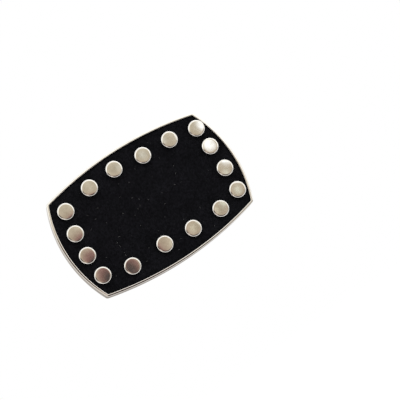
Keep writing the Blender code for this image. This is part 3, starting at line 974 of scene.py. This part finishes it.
def make_lint(finish):
    """A few pale fibres lying on the open suede."""
    drawn = random.Random(LINT_SEED)
    middles = list(stud_places().values())
    clear = CAP_RADIUS + DIMPLE_REACH
    bm = bmesh.new()
    made = 0
    while made < LINT_COUNT:
        x = drawn.uniform(-0.5, 0.5) * FRAME_LENGTH
        y = drawn.uniform(-0.5, 0.5) * FRAME_HEIGHT
        open_suede = all((Vector((x, y)) - middle).length > clear for middle in middles)
        if edge_distance(x, y) < LINT_EDGE_GAP or not open_suede:
            continue
        made += 1
        heading = drawn.uniform(0.0, math.tau)
        bend = drawn.uniform(-LINT_BEND, LINT_BEND)
        step = drawn.uniform(LINT_LEAST_STEP, LINT_MOST_STEP)
        path = []
        for _ in range(LINT_POINTS):
            path.append(face_point(x, y, suede_depth(x, y, middles) + LINT_RADIUS))
            x += step * math.cos(heading)
            y += step * math.sin(heading)
            heading += bend
        tube(bm, path, LINT_RADIUS, LINT_SIDES, LINT_RADIUS)
    add_piece("suede_lint", mesh_from("suede_lint", bm), "plate", finish, "black_suede")


def make_bail(finish):
    """The strap bail: one wire from pin to pin, round the strap's width."""
    pin_corner = (PIN_BEND_RADIUS, ARM_Z - PIN_BEND_RADIUS)
    bar_corner = (BAIL_REACH - BAR_BEND_RADIUS, ARM_Z - BAR_BEND_RADIUS)
    upper = [(0.0, LUG_OUTER_Z - PIN_GRIP + PIN_TIP_ROUND)]
    upper += arc(pin_corner, PIN_BEND_RADIUS, math.pi, math.pi / 2, BEND_STEPS)
    upper += arc(bar_corner, BAR_BEND_RADIUS, math.pi / 2, 0.0, BEND_STEPS)
    route = upper + [(x, -z) for x, z in reversed(upper)]
    bm = bmesh.new()
    path = [face_point(HINGE_X + x, z, -HINGE_STANDOFF) for x, z in route]
    tube(bm, path, WIRE_RADIUS, WIRE_SIDES, PIN_TIP_ROUND)
    add_piece("bail_wire", mesh_from("bail_wire", bm), "bail", finish, "wire_nickel", "strap_bail")


def make_hook(finish):
    """The hook stud on its boss: a shank that flares out under a domed head."""
    foot = FIT_GAP - BOSS_HEIGHT
    head_base = HOOK_CROWN + HOOK_HEAD_THICKNESS
    flare_round = HOOK_HEAD_THICKNESS / 2
    flare_middle = (SHANK_RADIUS + flare_round, head_base + flare_round)
    rim_round = flare_round / 2
    rim_depth = head_base - rim_round
    rim_middle = (HOOK_HEAD_RADIUS - rim_round, rim_depth)
    dome_reach = (HOOK_HEAD_RADIUS, HOOK_CROWN - rim_depth)
    profile = [(0.0, foot), (SHANK_RADIUS, foot)]
    profile += arc(flare_middle, flare_round, math.pi, math.pi * 1.5, ROUND_STEPS)
    profile += arc(rim_middle, rim_round, math.pi / 2, 0.0, ROUND_STEPS)
    profile += ellipse((0.0, rim_depth), dome_reach, 0.0, math.pi / 2, 2 * ROUND_STEPS)[1:]
    mesh = turned("hook_peg", profile, HOOK_SEGMENTS)
    hook = add_piece("hook_peg", mesh, "plate", finish, "wire_nickel", "hook_stud")
    hook.location = (HOOK_X, 0.0, 0.0)


def dress_solids(board, post):
    """Finish the solids that stay as they are: the board under the suede and the rivet posts."""
    for name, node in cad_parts.items():
        if name == "inlay_board":
            finish = board
        elif name.startswith("stud_post_"):
            finish = post
        else:
            continue
        for slot in node.material_slots:
            slot.material = finish


# Studio


def seen_rays(tree):
    """1 for the rays that show the backdrop: from the camera, off gloss and through clear things."""
    paths = tree.nodes.new("ShaderNodeLightPath")
    value = paths.outputs["Is Camera Ray"]
    for name in ("Is Glossy Ray", "Is Transmission Ray"):
        either = tree.nodes.new("ShaderNodeMath")
        either.operation = "MAXIMUM"
        tree.links.new(value, either.inputs[0])
        tree.links.new(paths.outputs[name], either.inputs[1])
        value = either.outputs["Value"]
    return value


def make_world():
    """A white backdrop all round, and a soft fill for everything that isn't looking at it."""
    world = bpy.data.worlds.new("studio")
    bpy.context.scene.world = world
    world.use_nodes = True
    tree = world.node_tree
    tree.nodes.clear()
    fill = tree.nodes.new("ShaderNodeBackground")
    fill.inputs["Color"].default_value = FILL_COLOUR
    fill.inputs["Strength"].default_value = FILL_STRENGTH
    backdrop = tree.nodes.new("ShaderNodeBackground")
    backdrop.inputs["Color"].default_value = BACKDROP_COLOUR
    backdrop.inputs["Strength"].default_value = BACKDROP_STRENGTH
    mix = tree.nodes.new("ShaderNodeMixShader")
    tree.links.new(seen_rays(tree), mix.inputs["Fac"])
    tree.links.new(fill.outputs[0], mix.inputs[1])
    tree.links.new(backdrop.outputs[0], mix.inputs[2])
    output = tree.nodes.new("ShaderNodeOutputWorld")
    tree.links.new(mix.outputs[0], output.inputs["Surface"])


def add_stage(name, corners, finish, place):
    """Add a flat sheet of the studio, which isn't part of the buckle."""
    bm = bmesh.new()
    bm.faces.new([bm.verts.new((x, y, 0.0)) for x, y in corners])
    mesh = bpy.data.meshes.new(name)
    bm.to_mesh(mesh)
    bm.free()
    mesh.materials.append(finish)
    sheet = bpy.data.objects.new(name, mesh)
    sheet.matrix_world = place
    bpy.context.scene.collection.objects.link(sheet)
    return sheet


def pale_floor():
    """A matt pale surface that shines a little towards the rays that show the backdrop."""
    material = bpy.data.materials.new("pale_floor")
    material.use_nodes = True
    tree = material.node_tree
    tree.nodes.clear()
    matt = tree.nodes.new("ShaderNodeBsdfDiffuse")
    matt.inputs["Color"].default_value = FLOOR_COLOUR
    glow = tree.nodes.new("ShaderNodeEmission")
    strength = tree.nodes.new("ShaderNodeMath")
    strength.operation = "MULTIPLY"
    tree.links.new(seen_rays(tree), strength.inputs[0])
    strength.inputs[1].default_value = FLOOR_GLOW
    tree.links.new(strength.outputs["Value"], glow.inputs["Strength"])
    both = tree.nodes.new("ShaderNodeAddShader")
    tree.links.new(matt.outputs[0], both.inputs[0])
    tree.links.new(glow.outputs[0], both.inputs[1])
    output = tree.nodes.new("ShaderNodeOutputMaterial")
    tree.links.new(both.outputs[0], output.inputs["Surface"])
    return material


def make_floor():
    """A plain pale floor that keeps the buckle's shadow and isn't mirrored in it."""
    half = FLOOR_SIZE / 2
    corners = ((-half, -half), (half, -half), (half, half), (-half, half))
    floor = add_stage("floor", corners, pale_floor(), Matrix.Translation((0.0, 0.0, -FLOOR_DROP)))
    floor.visible_glossy = False


def room_in_front():
    """The room that the face mirrors: pale above and dark below, with a window, a lamp and patches."""
    card = Finish("room_in_front", metallic=0.0)
    colour = card.bands(card.along(ROOM_SLANT), ROOM_BANDS)
    shade = card.from_middle(SHADE_MIDDLE, SHADE_REACH, SHADE_TURN)
    colour = card.spotted(colour, shade, SHADE_RIM, card.bands(shade, SHADE_BANDS))
    for spot in ROOM_SPOTS:
        distance = card.from_middle(spot.middle, spot.reach, spot.turn)
        colour = card.spotted(colour, distance, spot.rim, spot.tone)
    card.glow(colour, ROOM_STRENGTH)
    return card.material


def wall_behind():
    """The room that the buckle's back mirrors: a plain wall, paler towards the ceiling."""
    card = Finish("wall_behind", metallic=0.0)
    card.glow(card.bands(card.along((0.0, 1.0, 0.0)), WALL_BANDS), WALL_STRENGTH)
    return card.material


def make_card(name, finish, y, roll):
    """A large upright card that only reflections see, with its top rolled to one side."""
    half = CARD_WIDTH / 2
    corners = ((-half, CARD_LOW), (half, CARD_LOW), (half, CARD_HIGH), (-half, CARD_HIGH))
    upright = Matrix.Rotation(math.pi / 2, 4, "X")
    place = Matrix.Translation((0.0, y, 0.0)) @ Matrix.Rotation(roll, 4, "Y") @ upright
    card = add_stage(name, corners, finish, place)
    card.visible_camera = False
    card.visible_diffuse = False
    card.visible_shadow = False


def make_softbox(name, direction, mirrored):
    """A square lamp that faces the buckle and may be mirrored in it."""
    light = bpy.data.lights.new(name, "AREA")
    light.size = KEY_SIZE
    light.energy = KEY_POWER
    lamp = bpy.data.objects.new(name, light)
    lamp.location = direction.normalized() * KEY_DISTANCE
    lamp.rotation_mode = "QUATERNION"
    lamp.rotation_quaternion = (-direction).to_track_quat("-Z", "Y")
    lamp.visible_glossy = mirrored
    bpy.context.scene.collection.objects.link(lamp)


def make_camera():
    """The camera at the photograph's place; returns how it is turned."""
    data = bpy.data.cameras.new("camera")
    data.lens = CAMERA_LENS
    data.sensor_width = SENSOR_WIDTH
    data.clip_start = CAMERA_CLIP
    camera = bpy.data.objects.new("camera", data)
    bpy.context.scene.collection.objects.link(camera)
    turn = (CAMERA_AIM - CAMERA_PLACE).to_track_quat("-Z", "Y")
    turn = turn @ Euler((0.0, 0.0, CAMERA_ROLL)).to_quaternion()
    camera.rotation_mode = "QUATERNION"
    camera.location = CAMERA_PLACE
    camera.rotation_quaternion = turn
    bpy.context.scene.camera = camera
    return turn


def make_studio():
    """The camera, backdrop, floor, cards and lamps; the front card and the lamps follow its roll."""
    bpy.context.scene.view_settings.view_transform = "Standard"
    view = make_camera()
    image_up = view @ Vector((0.0, 1.0, 0.0))
    to_camera = view @ Vector((0.0, 0.0, 1.0))
    make_world()
    make_floor()
    make_card("room_in_front", room_in_front(), -CARD_DISTANCE, math.atan2(image_up.x, image_up.z))
    make_card("wall_behind", wall_behind(), CARD_DISTANCE, 0.0)
    make_softbox("key", image_up + to_camera * KEY_FORWARD, mirrored=False)
    make_softbox("back_key", image_up - to_camera * BACK_KEY_BACKWARD, mirrored=True)


def make_buckle():
    """Every piece of the buckle, in its finish."""
    polished = nickel(
        "polished_nickel",
        POLISHED_BRIGHT,
        POLISHED_DULL,
        POLISHED_GLOSS,
        POLISHED_SCRATCH,
        tarnish_and_shade=POLISHED_TARNISH_AND_SHADE,
    )
    satin = nickel(
        "satin_nickel",
        SATIN_BRIGHT,
        SATIN_DULL,
        SATIN_GLOSS,
        SATIN_SCRATCH,
        polish=SATIN_RUBBED,
    )
    wire = nickel("drawn_nickel", DRAWN_BRIGHT, DRAWN_DULL, DRAWN_GLOSS, DRAWN_SCRATCH)
    cast = cast_nickel()
    make_tray(polished, cast)
    make_lug("upper_lug", LUG_MIDDLE_Z, cast)
    make_lug("lower_lug", -LUG_MIDDLE_Z, cast)
    make_boss(cast)
    make_suede(black_suede())
    make_lint(pale_lint())
    make_caps(satin)
    make_bail(wire)
    make_hook(wire)
    dress_solids(fibre_board(), wire)


def main():
    """Set the studio up and dress the buckle."""
    make_studio()
    make_buckle()


main()
